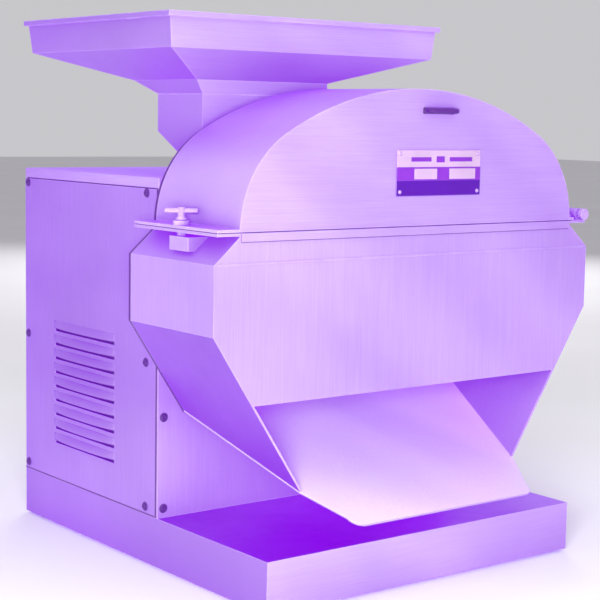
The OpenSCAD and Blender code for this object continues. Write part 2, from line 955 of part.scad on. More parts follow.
module fan_cowl() {
    ya = bell_y + rear_bell_t - 10;
    yb = fan_y + fan_t + 12;
    color("steelblue") at_rotor() difference() {
        rod(stator_r + 6, ya, yb);
        rod(stator_r + 4, ya - 1, yb - 2);
        for (a = [0:30:330], r = [20, 38, 54]) rod(4, yb - 5, yb + 1, r * cos(a), r * sin(a));
    }
}

module terminal_box() {
    color("steelblue") at_rotor() difference() {
        span(stator_r + 2, stator_r + 42, stator_y + 30, stator_y + 110, -34, 34);
        span(stator_r + 16, stator_r + 40, stator_y + 34, stator_y + 106, -30, 30);
        translate([stator_r + 29, stator_y + 70, -40]) cylinder(r = 8, h = 10);
        rod(stator_r + 13.2, stator_y, bell_y);
    }
}

module motor_bolts() {
    color("gainsboro") at_rotor() for (a = [45:90:315])
        translate([bolt_circle_r * cos(a), 0, bolt_circle_r * sin(a)]) {
        rod(motor_bolt_r, back_y - 1, flange_y + 18);
        translate([0, back_y, 0]) rotate([90, 0, 0]) cylinder(r = 7.5, h = 5, $fn = 6);
        translate([0, flange_y + 12, 0]) rotate([-90, 0, 0]) cylinder(r = 7.5, h = 6.5, $fn = 6);
    }
}

// ---------- hopper ----------

rim_top = [hop_x0, hop_x1, hop_y, hop_y + hop_d];
rim_low = [hop_x0 + 3, hop_x1 - 5, hop_y + 2, hop_y + hop_d - 6];
crease = [hop_x0 + 50, hop_x0 + 240, hop_y + 21, hop_y + 157];
throat = [neck_x0, neck_x1, neck_y, neck_y + neck_d];
crease_z = 556;

function inset(q, t) = [q[0] + t, q[1] - t, q[2] + t, q[3] - t];

module hopper_tray() {
    t = sheet_h;
    color("silver") difference() {
        union() {
            frustum(rim_low, hop_z - rim_h, rim_top, hop_z);
            frustum(inset(rim_top, -4), hop_z - 6, inset(rim_top, -4), hop_z);
            frustum(crease, crease_z, rim_low, hop_z - rim_h + 0.01);
            frustum(throat, neck_z, crease, crease_z + 0.01);
        }
        frustum(inset(rim_low, t), hop_z - rim_h, inset(rim_top, t), hop_z + 0.1);
        frustum(inset(crease, t), crease_z + t / 2, inset(rim_low, t), hop_z - rim_h + 0.02);
        frustum(inset(throat, t), neck_z - 0.1, inset(crease, t), crease_z + t / 2 + 0.01);
    }
}

module neck_outline(t) {
    polygon([
        [neck_y + t, neck_z], [neck_y + neck_d - t, neck_z],
        [neck_y + neck_d - t, neck_rear_z + t * 0.6], [neck_y + 4, floor_z + t],
        [wall_y, floor_z + t], [wall_y, tunnel_z - t], [neck_y + t, tunnel_z - t]
    ]);
}

module hopper_neck() {
    t = sheet_h;
    color("silver") difference() {
        union() {
            translate([neck_x0, 0, 0]) rotate([90, 0, 90]) linear_extrude(neck_x1 - neck_x0)
                neck_outline(0);
            span(neck_x0 - 14, neck_x1 + 14, wall_y, wall_y + 3, floor_z, tunnel_z + 6);
        }
        translate([neck_x0 + t, 0, 0]) rotate([90, 0, 90]) linear_extrude(neck_x1 - neck_x0 - 2 * t)
            neck_outline(t);
        span(neck_x0 + t, neck_x1 - t, neck_y + t, neck_y + neck_d - t, neck_z - 1, neck_z + 1);
        span(neck_x0 + t, neck_x1 - t, wall_y - 1, wall_y + 4, floor_z + t, tunnel_z - t);
        neck_bolt_places() rod(neck_bolt_r + 0.1, wall_y - 1, wall_y + 5);
    }
}

module neck_bolt_places() {
    for (x = [neck_x0 - 7, neck_x1 + 7], z = [floor_z + 8, tunnel_z - 6])
        translate([x, 0, z]) children();
}

module hopper_bolts() {
    color("gainsboro") neck_bolt_places() {
        rod(neck_bolt_r, back_y - 1, wall_y + 8);
        translate([0, back_y, 0]) rotate([90, 0, 0]) cylinder(r = 4.6, h = 3.5, $fn = 6);
        translate([0, wall_y + 3, 0]) rotate([-90, 0, 0]) cylinder(r = 4.6, h = 4, $fn = 6);
    }
}

base_plinth();
foot_pads();
cabinet_frame();
cabinet_front_wall();
left_side_panel();
right_side_panel();
rear_panel();
cabinet_lid();
panel_screws();
cable_gland();
switch_box();
start_button();
stop_button();
drum_back_plate();
lower_housing();
joint_strip();
discharge_chute();
screen();
screen_guides();
screen_rails();
baffle_plates();
back_plate_bolts();
upper_cover();
cover_handle();
label_plate();
label_rivets();
hinge_body_leaf();
hinge_cover_leaf();
hinge_pin();
hinge_screws();
clamp_block();
clamp_washer();
clamp_screw();
clamp_bar();
rotor_disc_rear();
rotor_disc_middle();
rotor_disc_front();
shaft_spacers();
hammer_pins();
hammers_top();
hammers_right();
hammers_bottom();
hammers_left();
rotor_end_washer();
rotor_end_bolt();
motor_shaft();
motor_core();
motor_frame();
motor_front_bell();
motor_rear_bell();
front_bearing();
rear_bearing();
shaft_seal();
cooling_fan();
fan_cowl();
terminal_box();
motor_bolts();
hopper_tray();
hopper_neck();
hopper_bolts();
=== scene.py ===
"""The looks of a bench hammer mill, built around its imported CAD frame. Metres, +Z up, front towards -Y."""
import json
import math

import bmesh
import bpy
from mathutils import Matrix, Vector


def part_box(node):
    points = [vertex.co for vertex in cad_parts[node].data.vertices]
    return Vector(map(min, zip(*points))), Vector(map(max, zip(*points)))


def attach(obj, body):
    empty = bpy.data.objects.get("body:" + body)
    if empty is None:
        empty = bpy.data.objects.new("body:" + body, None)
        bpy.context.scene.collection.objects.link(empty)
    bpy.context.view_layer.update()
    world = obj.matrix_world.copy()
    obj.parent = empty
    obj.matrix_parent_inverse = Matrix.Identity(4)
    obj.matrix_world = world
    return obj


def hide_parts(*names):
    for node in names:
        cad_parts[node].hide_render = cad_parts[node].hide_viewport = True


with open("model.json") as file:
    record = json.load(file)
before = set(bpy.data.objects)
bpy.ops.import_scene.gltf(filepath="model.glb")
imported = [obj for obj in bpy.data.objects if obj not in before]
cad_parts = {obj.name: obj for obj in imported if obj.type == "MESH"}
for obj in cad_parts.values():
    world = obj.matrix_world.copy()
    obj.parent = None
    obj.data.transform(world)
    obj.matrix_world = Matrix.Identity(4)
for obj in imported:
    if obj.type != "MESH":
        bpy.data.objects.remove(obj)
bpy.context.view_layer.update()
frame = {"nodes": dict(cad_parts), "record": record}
NODES = frame["nodes"]

MM = 0.001
FRAME_PX = 600
SENSOR_MM = 36.0

X = Vector((1, 0, 0))
Y = Vector((0, 1, 0))
Z = Vector((0, 0, 1))


# ---------- camera ----------

CAM_PLACE = Vector((-1.1493, -1.4983, 0.5145))
CAM_FOCAL_PX = 1543.0
CAM_YAW = math.radians(37.85)
CAM_PITCH = math.radians(6.73)
CAM_ROLL = math.radians(1.02)


def add_camera():
    """The camera at the photograph's viewing angle: ahead of the mill, to its left and above the drum."""
    ahead = Vector((math.sin(CAM_YAW), math.cos(CAM_YAW), 0.0))
    look = ahead * math.cos(CAM_PITCH) - Z * math.sin(CAM_PITCH)
    level = Vector((math.cos(CAM_YAW), -math.sin(CAM_YAW), 0.0))
    rise = level.cross(look)
    right = level * math.cos(CAM_ROLL) + rise * math.sin(CAM_ROLL)
    up = rise * math.cos(CAM_ROLL) - level * math.sin(CAM_ROLL)
    data = bpy.data.cameras.new("camera")
    data.sensor_width = SENSOR_MM
    data.lens = CAM_FOCAL_PX / FRAME_PX * SENSOR_MM
    data.clip_end = 50
    cam = bpy.data.objects.new("camera", data)
    bpy.context.scene.collection.objects.link(cam)
    turn = Matrix((right, up, -look)).transposed().to_4x4()
    cam.matrix_world = Matrix.Translation(CAM_PLACE) @ turn
    bpy.context.scene.camera = cam


# ---------- materials ----------

class Surface:
    """A new material with short calls for the nodes that the surfaces here are made of."""

    def __init__(self, name):
        self.mat = bpy.data.materials.new(name)
        self.mat.use_nodes = True
        self.tree = self.mat.node_tree
        self.bsdf = self.tree.nodes["Principled BSDF"]
        self.coord = self.tree.nodes.new("ShaderNodeTexCoord")

    def link(self, a, b):
        self.tree.links.new(a, b)

    def new(self, kind, **values):
        n = self.tree.nodes.new(kind)
        for key, value in values.items():
            setattr(n, key, value)
        return n

    def put(self, socket, value):
        """Sets a socket to a number or colour, or links it."""
        if isinstance(value, (int, float)):
            socket.default_value = value
        elif isinstance(value, tuple):
            socket.default_value = (*value, 1.0)
        else:
            self.link(value, socket)

    def noise(self, stretch, detail=3.0, rough=0.55):
        """Noise over object coordinates; stretch is how many cells fit in a metre along X, Y and Z."""
        m = self.new("ShaderNodeMapping")
        self.link(self.coord.outputs["Object"], m.inputs["Vector"])
        m.inputs["Scale"].default_value = stretch
        n = self.new("ShaderNodeTexNoise")
        self.link(m.outputs["Vector"], n.inputs["Vector"])
        n.inputs["Scale"].default_value = 1.0
        n.inputs["Detail"].default_value = detail
        n.inputs["Roughness"].default_value = rough
        return n.outputs["Fac"]

    def streaks(self, cell, turn):
        """Broad soft bands of painted reflection: noise in cells of this size, turned about X, Y and Z."""
        m = self.new("ShaderNodeMapping", vector_type="TEXTURE")
        self.link(self.coord.outputs["Object"], m.inputs["Vector"])
        m.inputs["Rotation"].default_value = turn
        m.inputs["Scale"].default_value = cell
        n = self.new("ShaderNodeTexNoise")
        self.link(m.outputs["Vector"], n.inputs["Vector"])
        n.inputs["Scale"].default_value = 1.0
        n.inputs["Detail"].default_value = 1.0
        return n.outputs["Fac"]

    def along(self, output, axis):
        """One axis of a coordinate. On "Normal", Z is 1 on a level top and -1 on an underside."""
        split = self.new("ShaderNodeSeparateXYZ")
        self.link(self.coord.outputs[output], split.inputs[0])
        return split.outputs[axis]

    def painted_corner_shade(self, reach):
        """1 in the open, less where other faces stand within reach: the mask of the painted shade in corners.
        """
        n = self.new("ShaderNodeAmbientOcclusion", samples=6)
        n.inputs["Distance"].default_value = reach
        return n.outputs["AO"]

    def spread(self, value, low, high, to_low, to_high):
        """value from low..high to to_low..to_high, held at the ends."""
        n = self.new("ShaderNodeMapRange")
        self.link(value, n.inputs["Value"])
        n.inputs["From Min"].default_value = low
        n.inputs["From Max"].default_value = high
        n.inputs["To Min"].default_value = to_low
        self.put(n.inputs["To Max"], to_high)
        return n.outputs["Result"]

    def math(self, operation, a, b):
        n = self.new("ShaderNodeMath", operation=operation)
        self.put(n.inputs[0], a)
        self.put(n.inputs[1], b)
        return n.outputs["Value"]

    def mix(self, fac, a, b):
        """Colour a where fac is 0, b where it is 1."""
        n = self.new("ShaderNodeMix", data_type="RGBA")
        self.put(n.inputs[0], fac)
        self.put(n.inputs[6], a)
        self.put(n.inputs[7], b)
        return n.outputs[2]

    def scale(self, colour, factor):
        """colour times a number."""
        n = self.new("ShaderNodeVectorMath", operation="SCALE")
        self.put(n.inputs[0], colour)
        self.put(n.inputs["Scale"], factor)
        return n.outputs["Vector"]

    def edges(self, radius):
        """1 along the edges of the mesh, within radius, and 0 on its faces."""
        bevel = self.new("ShaderNodeBevel", samples=3)
        bevel.inputs["Radius"].default_value = radius
        geo = self.new("ShaderNodeNewGeometry")
        dot = self.new("ShaderNodeVectorMath", operation="DOT_PRODUCT")
        self.link(bevel.outputs["Normal"], dot.inputs[0])
        self.link(geo.outputs["Normal"], dot.inputs[1])
        return self.spread(dot.outputs["Value"], 0.985, 0.86, 0.0, 1.0)

    def set(self, **values):
        """Sets or links the shader's inputs, named with _ for a space."""
        for name, value in values.items():
            self.put(self.bsdf.inputs[name.replace("_", " ")], value)

    def bump(self, height, distance, strength=1.0):
        n = self.new("ShaderNodeBump")
        self.link(height, n.inputs["Height"])
        n.inputs["Distance"].default_value = distance
        n.inputs["Strength"].default_value = strength
        self.link(n.outputs["Normal"], self.bsdf.inputs["Normal"])


# Painted light: the violet that every tinted steel glows with, on lit and shaded faces alike, though no part
# is a lamp.
VIOLET_GLOW = (0.235, 0.0, 0.78)
STEEL_LIGHT = (0.36, 0.345, 0.24)
STEEL_DEEP = (0.255, 0.235, 0.20)
# Pale edge colour: real edge wear, and a painted highlight along the edges.
STEEL_EDGE_WEAR_AND_HIGHLIGHT = (0.52, 0.50, 0.41)
# Painted shade: the cabinet panels' tones, a darker copy of the steel's.
SHADED_PANEL_LIGHT = (0.27, 0.26, 0.18)
SHADED_PANEL_DEEP = (0.185, 0.17, 0.15)
# Painted reflection and shade: upper faces that fade go from one brightness at the first X to another at the
# second.
REFLECTION_FADE_FROM_X = -0.12
REFLECTION_FADE_TO_X = 0.2


def tinted_steel(name, grain, light=STEEL_LIGHT, deep=STEEL_DEEP, rough=0.40, metal=0.45, glow=1.0,
                 top=1.0, under=0.45, left=1.0, corner_shade=0.35, reach=0.10, rim=1.4, reflection_fade=None):
    """Violet-tinted satin sheet, with a painted violet glow of strength glow that lights every face, shadows
    too.
    grain is the noise's stretch: low along the brushing, high across it. Painted light and shade: beside an
    open upright face at 1, top, under and left are how bright upper, under and left faces are painted, and
    corner_shade how bright an inner corner is painted, with walls within reach. rim is the width in mm of the
    edge wear and its painted highlight. reflection_fade, if given, is how bright upper faces are painted at
    REFLECTION_FADE_TO_X, when they are at top at REFLECTION_FADE_FROM_X: a painted reflection."""
    m = Surface(name)
    fine = m.noise(grain, 4.0, 0.65)
    broad = m.noise((4.0, 4.0, 4.0), 3.0, 0.5)
    smear = m.noise((24.0, 24.0, 10.0), 4.0, 0.6)
    # Painted reflection: broad diagonal bands that lighten and darken the sheet.
    painted_reflection_bands = m.streaks((0.7, 0.7, 0.10), (0.0, math.radians(38), math.radians(10)))
    grained = m.mix(m.spread(fine, 0.3, 0.7, 0.0, 1.0), deep, light)
    clouded = m.mix(m.spread(broad, 0.35, 0.65, 0.0, 1.0), deep, light)
    base = m.mix(0.4, grained, clouded)
    up = m.along("Normal", "Z")
    # Painted shade in inner corners, where other faces stand within reach, times the painted reflection
    # bands.
    shade = m.math("MULTIPLY", m.spread(m.painted_corner_shade(reach), 0.2, 0.95, corner_shade, 1.0),
                   m.spread(painted_reflection_bands, 0.3, 0.7, 0.84, 1.12))
    # Painted reflection: upper faces brighten or darken along X.
    if reflection_fade:
        top = m.spread(m.along("Object", "X"), REFLECTION_FADE_FROM_X, REFLECTION_FADE_TO_X, top, reflection_fade)
    # Painted light and shade: upper, under and left faces made brighter or darker for how light falls on
    # them.
    for factor in (m.spread(up, -0.5, -0.1, under, 1.0), m.spread(up, 0.68, 0.82, 1.0, top),
                   m.spread(m.along("Normal", "X"), -0.5, -0.2, left, 1.0)):
        shade = m.math("MULTIPLY", shade, factor)
    base = m.scale(base, shade)
    # Edge wear and painted highlight: pale colour along the edges, patchy by the smear noise.
    edge_wear_and_highlight = m.math("MULTIPLY", m.edges(rim * MM), m.spread(smear, 0.35, 0.6, 0.35, 0.95))
    shine = m.math("ADD", m.spread(fine, 0.3, 0.7, rough - 0.05, rough + 0.06),
                   m.spread(smear, 0.3, 0.7, -0.05, 0.05))
    # Painted light: the sheet glows violet, dimmer and brighter by the broad noise, so its shaded faces stay
    # violet too.
    dim = tuple(0.86 * c for c in VIOLET_GLOW)
    m.set(Base_Color=m.mix(edge_wear_and_highlight, base, STEEL_EDGE_WEAR_AND_HIGHLIGHT), Metallic=metal, Roughness=shine,
          Coat_Weight=0.15, Coat_Roughness=0.35, Coat_IOR=1.5,
          Emission_Color=m.mix(m.spread(broad, 0.3, 0.7, 0.0, 1.0), dim, VIOLET_GLOW),
          Emission_Strength=glow)
    m.bump(fine, 0.02 * MM, 0.5)
    return m.mat


def painted(name, colour, rough=0.4, coat=0.3):
    """Enamel with a slight orange-peel surface, stains and rubbed edges."""
    m = Surface(name)
    peel = m.noise((420.0, 420.0, 420.0), 2.0, 0.5)
    stain = m.noise((14.0, 14.0, 14.0), 4.0, 0.6)
    base = m.mix(m.spread(stain, 0.35, 0.65, 0.0, 1.0), tuple(0.78 * c for c in colour), colour)
    rubbed = tuple(min(1.0, 2.0 * c + 0.1) for c in colour)
    m.set(Base_Color=m.mix(m.math("MULTIPLY", m.edges(0.8 * MM), 0.35), base, rubbed),
          Roughness=m.spread(stain, 0.3, 0.7, rough - 0.08, rough + 0.1),
          Coat_Weight=coat, Coat_Roughness=0.2)
    m.bump(peel, 0.05 * MM, 0.5)
    return m.mat


def moulded(name, colour, rough=0.5, grain=900.0):
    """Moulded plastic or rubber with a fine spark-eroded grain."""
    m = Surface(name)
    grit = m.noise((grain, grain, grain), 2.0, 0.5)
    cloud = m.noise((30.0, 30.0, 30.0), 3.0, 0.5)
    pale = tuple(min(1.0, 1.35 * c + 0.01) for c in colour)
    m.set(Base_Color=m.mix(m.spread(cloud, 0.35, 0.7, 0.0, 1.0), colour, pale),
          Roughness=m.spread(grit, 0.3, 0.7, rough - 0.07, rough + 0.08))
    m.bump(grit, 0.04 * MM, 0.6)
    return m.mat


def forged(name, colour, rough=0.5):
    """Dark hardened steel with scale, pits and a bright worn rim."""
    m = Surface(name)
    pits = m.noise((260.0, 260.0, 260.0), 5.0, 0.65)
    cloud = m.noise((40.0, 40.0, 40.0), 4.0, 0.6)
    base = m.mix(m.spread(cloud, 0.35, 0.65, 0.0, 1.0), colour, tuple(1.9 * c for c in colour))
    m.set(Base_Color=m.mix(m.math("MULTIPLY", m.edges(1.5 * MM), 0.8), base, (0.62, 0.58, 0.72)),
          Metallic=0.9, Roughness=m.spread(pits, 0.3, 0.7, rough - 0.12, rough + 0.15))
    m.bump(pits, 0.12 * MM, 0.6)
    return m.mat


GRAIN_UP = (900.0, 900.0, 14.0)
GRAIN_ACROSS = (14.0, 900.0, 900.0)
GRAIN_DEEP = (900.0, 14.0, 900.0)
GRAIN_TURNED = (300.0, 300.0, 300.0)


def make_materials():
    """Every finish by its name. The steels share one recipe, and each row says how one of them differs. The
    tones and factors of the part rows are painted light and shade.
    """
    # Painted shade: cabinet panels darker all over and darker on their left faces.
    panel = {"light": SHADED_PANEL_LIGHT, "deep": SHADED_PANEL_DEEP, "left": 0.86}
    steels = {
        "sheet_up": dict(grain=GRAIN_UP),
        "sheet_across": dict(grain=GRAIN_ACROSS),
        "sheet_deep": dict(grain=GRAIN_DEEP),
        "cabinet_sheet": dict(grain=GRAIN_UP, **panel),
        "louvre_sheet": dict(grain=GRAIN_ACROSS, rim=0.2, **panel),
        # Painted light and shade: a lighter plinth with an all but black deck that brightens along X, and
        # darker left faces.
        "plinth_sheet": dict(grain=GRAIN_ACROSS, light=(0.42, 0.40, 0.27), deep=(0.30, 0.28, 0.22),
                             top=0.02, left=0.46, reflection_fade=0.65),
        # Painted shade: darker undersides, left faces and inner corners on the housing.
        "housing_sheet": dict(grain=GRAIN_UP, under=0.30, left=0.9, corner_shade=0.3, reach=0.16),
        # Painted shade in the cover's corners, and a wide painted highlight with the wear along its edges.
        "cover_sheet": dict(grain=GRAIN_ACROSS, corner_shade=0.25, reach=0.2, rim=2.4),
        # Painted light and shade: a lighter hopper with darker undersides and left faces, and a wide painted
        # highlight with the wear on its edges.
        "hopper_sheet": dict(grain=GRAIN_ACROSS, light=(0.44, 0.44, 0.28), deep=(0.32, 0.31, 0.23),
                             under=0.58, left=0.60, rim=2.0),
        # Painted light: a lighter chute whose upper faces are painted two and a half times as bright, with
        # little corner shade.
        "chute_sheet": dict(grain=GRAIN_DEEP, light=(0.33, 0.345, 0.20), deep=(0.27, 0.275, 0.18),
                            top=2.5, corner_shade=0.9),
        # Dark violet trim for the gasket, seals, filter and pull, and painted shade on the drum's back plate
        # and under the joint strip.
        "dark_trim_and_shade": dict(grain=GRAIN_UP, light=(0.055, 0.03, 0.05), deep=(0.03, 0.015, 0.03),
                          glow=0.45, rim=0.3),
        "dark_screw": dict(grain=GRAIN_TURNED, light=(0.05, 0.03, 0.05), deep=(0.03, 0.02, 0.03),
                           rough=0.5, metal=0.3, glow=0.42, rim=0.2),
        "frame_steel": dict(grain=GRAIN_DEEP, light=(0.20, 0.13, 0.22), deep=(0.13, 0.08, 0.15),
                            rough=0.45, metal=0.7, glow=0.2),
        "fastener": dict(grain=GRAIN_TURNED, light=(0.44, 0.38, 0.40), deep=(0.28, 0.23, 0.28),
                         rough=0.48, metal=0.35, glow=0.85),
        "rotor_steel": dict(grain=(600.0, 40.0, 600.0), light=(0.42, 0.38, 0.46), deep=(0.27, 0.24, 0.31),
                            rough=0.32, metal=0.9, glow=0.1),
        "bearing_steel": dict(grain=(200.0, 900.0, 200.0), light=(0.72, 0.70, 0.78),
                              deep=(0.56, 0.54, 0.62), rough=0.18, metal=1.0, glow=0.05),
    }
    others = {
        "hammer_steel": forged("hammer_steel", (0.075, 0.065, 0.10)),
        "motor_paint": painted("motor_paint", (0.045, 0.06, 0.16)),
        "rubber": moulded("rubber", (0.012, 0.012, 0.014), 0.75, 500.0),
        "black_plastic": moulded("black_plastic", (0.018, 0.014, 0.026), 0.48),
        "green_plastic": moulded("green_plastic", (0.01, 0.22, 0.05), 0.3, 300.0),
        "red_plastic": moulded("red_plastic", (0.42, 0.01, 0.015), 0.3, 300.0),
        "label": painted("label", (0.42, 0.29, 0.47), 0.6, 0.0),
        "label_mid": painted("label_mid", (0.16, 0.02, 0.38), 0.6, 0.0),
        "label_dark": painted("label_dark", (0.062, 0.0, 0.26), 0.6, 0.0),
    }
    return {name: tinted_steel(name, **look) for name, look in steels.items()} | others


# ---------- CAD pieces that stay ----------

GRAIN_OF = {
    "sheet_up": ["cabinet_front_wall", "clamp_block"],
    "housing_sheet": ["lower_housing"],
    "cover_sheet": ["upper_cover"],
    "hopper_sheet": ["hopper_tray", "hopper_neck"],
    # Painted shade: the drum's back plate, seen beside the cabinet, in the dark trim.
    "dark_trim_and_shade": ["drum_back_plate"],
    "cabinet_sheet": ["left_side_panel", "right_side_panel", "rear_panel"],
    "sheet_across": ["joint_strip"],
    "sheet_deep": ["cabinet_lid", "hinge_body_leaf", "hinge_cover_leaf"],
    "plinth_sheet": ["base_plinth"],
    "chute_sheet": ["discharge_chute"],
}
PLAIN_EDGE = 0.5
EDGE_RADIUS = {"upper_cover": 1.0, "lower_housing": 1.0, "base_plinth": 1.4, "cabinet_lid": 1.2,
               "hopper_tray": 0.8, "discharge_chute": 0.9}


def finish_of(node, slot):
    """The finish of a CAD node: its own from GRAIN_OF, or the one named like its material slot."""
    for finish, names in GRAIN_OF.items():
        if node in names:
            return finish
    return slot


def soften(obj, width, angle=32.0):
    """Rounds a piece's edges as folded sheet or a chamfered bar has them, with modifiers only."""
    weld = obj.modifiers.new("weld", "WELD")
    weld.merge_threshold = 0.005 * MM
    flat = obj.modifiers.new("flat", "DECIMATE")
    flat.decimate_type = "DISSOLVE"
    flat.angle_limit = math.radians(1.0)
    round_edges(obj, width, angle)


def round_edges(obj, width, angle=32.0):
    """Rounds the edges that turn by more than angle degrees."""
    bevel = obj.modifiers.new("bevel", "BEVEL")
    bevel.width = width
    bevel.segments = 2
    bevel.limit_method = "ANGLE"
    bevel.angle_limit = math.radians(angle)
    bevel.use_clamp_overlap = True
    normal = obj.modifiers.new("normal", "WEIGHTED_NORMAL")
    normal.keep_sharp = True


def dress_cad():
    """Gives every CAD piece its finish and its rounded edges."""
    slots = {part["node"]: part["material_slot"] for part in frame["record"]["subparts"]}
    for name, obj in NODES.items():
        obj.data.materials.clear()
        obj.data.materials.append(MATS[finish_of(name, slots[name])])
        soften(obj, EDGE_RADIUS.get(name, PLAIN_EDGE) * MM)


# ---------- making pieces ----------

def add_piece(name, bm, finish, body, stands_for=(), smooth=True):
    """Turns a bmesh into a piece that rides on a body."""
    mesh = bpy.data.meshes.new(name)
    bmesh.ops.recalc_face_normals(bm, faces=bm.faces)
    bm.to_mesh(mesh)
    bm.free()
    mesh.materials.append(MATS[finish])
    if smooth:
        mesh.shade_smooth()
    obj = bpy.data.objects.new(name, mesh)
    bpy.context.scene.collection.objects.link(obj)
    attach(obj, body)
    if stands_for:
        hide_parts(*stands_for)
    return obj


def facing(axis, place):
    """Matrix that takes +Z to axis and the origin to place."""
    return Matrix.Translation(place) @ Vector(axis).to_track_quat("Z", "Y").to_matrix().to_4x4()


def polar(radius, angle, z):
    """The point at this radius and angle about +Z, at height z."""
    return Vector((radius * math.cos(angle), radius * math.sin(angle), z))


def full_turn(steps):
    """Angles of this many equal steps round a circle."""
    return [math.tau * i / steps for i in range(steps)]


def lathe(bm, profile, at, sides=40):
    """Turns a profile of (radius, height) about +Z, then places it with at. Radius 0 is a single point."""
    rings = []
    for r, z in profile:
        turn = full_turn(sides) if r else [0.0]
        rings.append([bm.verts.new(at @ polar(r, a, z)) for a in turn])
    join_all(bm, rings)


def join_all(bm, rings):
    """Faces between each ring and the next."""
    for low, high in zip(rings, rings[1:]):
        join_rings(bm, low, high)


def join_rings(bm, low, high):
    """Faces between two rings, either of which may be a single point."""
    n = max(len(low), len(high))
    if n == 1:
        return
    for i in range(n):
        j = (i + 1) % n
        loop = [low[i % len(low)], low[j % len(low)], high[j % len(high)], high[i % len(high)]]
        loop = [v for k, v in enumerate(loop) if v is not loop[k - 1]]
        bm.faces.new(loop)


def sweep(bm, path, radius, sides=16, closed=False):
    """Round bar along a path of points, with domed ends unless it is closed."""
    n = len(path)
    side = None
    rings = []
    for i, p in enumerate(path):
        before = path[i - 1] if closed or i else path[0]
        after = path[(i + 1) % n] if closed or i < n - 1 else path[-1]
        along = (after - before).normalized()
        if side is None:
            side = along.orthogonal().normalized()
        side = (side - along * side.dot(along)).normalized()
        up = along.cross(side)
        spokes = [side * math.cos(a) + up * math.sin(a) for a in full_turn(sides)]
        rings.append([bm.verts.new(p + radius * spoke) for spoke in spokes])
    join_all(bm, rings)
    if closed:
        join_rings(bm, rings[-1], rings[0])
        return
    for ring, end, inner in ((rings[0], path[0], path[1]), (rings[-1], path[-1], path[-2])):
        out = (end - inner).normalized()
        cap = [bm.verts.new(end + out * radius * 0.5 + (v.co - end) * 0.75) for v in ring]
        join_rings(bm, ring, cap)
        join_rings(bm, cap, [bm.verts.new(end + out * radius * 0.72)])


def arc(centre, start, end, steps=6):
    """Points on the quarter turn about centre from start to end, both a radius away from it."""
    a, b = start - centre, end - centre
    turns = [math.pi / 2 * i / steps for i in range(steps + 1)]
    return [centre + a * math.cos(t) + b * math.sin(t) for t in turns]


def block(bm, low, high):
    """Closed box between two corners."""
    middle = (Vector(low) + Vector(high)) / 2
    size = [h - l for l, h in zip(low, high)]
    place = Matrix.Translation(middle) @ Matrix.Diagonal((*size, 1.0))
    bmesh.ops.create_cube(bm, size=1.0, matrix=place)


def islands(node):
    """The box (low, high) of each separate solid of a CAD node."""
    bm = bmesh.new()
    bm.from_mesh(NODES[node].data)
    bmesh.ops.remove_doubles(bm, verts=bm.verts, dist=0.002 * MM)
    left = set(bm.verts)
    boxes = []
    while left:
        heap = [left.pop()]
        group = list(heap)
        while heap:
            for e in heap.pop().link_edges:
                for v in e.verts:
                    if v in left:
                        left.remove(v)
                        heap.append(v)
                        group.append(v)
        low = Vector([min(v.co[k] for v in group) for k in range(3)])
        high = Vector([max(v.co[k] for v in group) for k in range(3)])
        boxes.append((low, high))
    bm.free()
    return sorted(boxes, key=lambda b: tuple(b[0]))


# ---------- screws ----------

def pan_head(bm, at, r, h):
    """Domed head standing on z = 0, with a cross recess and a thin washer under it."""
    washer = [(0, -0.1), (1.22, -0.1), (1.25, 0.08), (1.18, 0.16), (1.0, 0.16)]
    lathe(bm, [(reach * r, z * h) for reach, z in washer], at)
    dome = [(1.0, 0.16), (1.0, 0.45), (0.94, 0.68), (0.82, 0.85), (0.66, 0.95), (0.5, 1.0), (0.34, 1.02),
            (0.18, 1.03)]
    slot_half, slot_end, slot_depth = 0.13, 0.6, 0.42
    rings = []
    for reach, z in dome:
        ring = []
        for a in full_turn(48):
            across = min(abs(math.sin(a)), abs(math.cos(a))) * reach
            sunk = slot_depth if across < slot_half and reach < slot_end else 0.0
            ring.append(bm.verts.new(at @ polar(reach * r, a, (z - sunk) * h)))
        rings.append(ring)
    join_all(bm, rings)
    join_rings(bm, rings[-1], [bm.verts.new(at @ Vector((0, 0, 0.5 * h)))])


def add_panel_screws():
    """The cabinet's sheet-metal screws, each on the face that its CAD solid stands on."""
    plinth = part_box("base_plinth")
    wall_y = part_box("drum_back_plate")[1].y
    head_h = 2.4 * MM
    head_part = 0.86
    spin_per_m = 40
    bm = bmesh.new()
    for low, high in islands("panel_screws"):
        x, y, z = (low + high) / 2
        if high.x > plinth[1].x:
            at, r = facing(X, (plinth[1].x, y, z)), (high.y - low.y) / 2
        elif low.x < plinth[0].x:
            at, r = facing(-X, (plinth[0].x, y, z)), (high.y - low.y) / 2
        elif high.y > plinth[1].y:
            at, r = facing(Y, (x, plinth[1].y, z)), (high.x - low.x) / 2
        else:
            at, r = facing(-Y, (x, wall_y, z)), (high.x - low.x) / 2
        pan_head(bm, at @ Matrix.Rotation(z * spin_per_m, 4, "Z"), head_part * r, head_h)
    add_piece("panel_screw_heads", bm, "dark_screw", "root", ["panel_screws"])


# ---------- side panels ----------

SHEET = 2 * MM
LOUVRE_FROM_FRONT = 90 * MM
LOUVRE_LENGTH = 145 * MM
LOUVRE_RISE = 49 * MM
LOUVRE_PITCH = 17.6 * MM
LOUVRE_COUNT = 9
LOUVRE_H = 9 * MM
LOUVRE_SLOT = 4 * MM
LOUVRE_DEPTH = 5 * MM
LOUVRE_SHEET = 1.1 * MM
LOUVRE_ROOT = 0.8 * MM
LOUVRE_LAP = 1.4 * MM


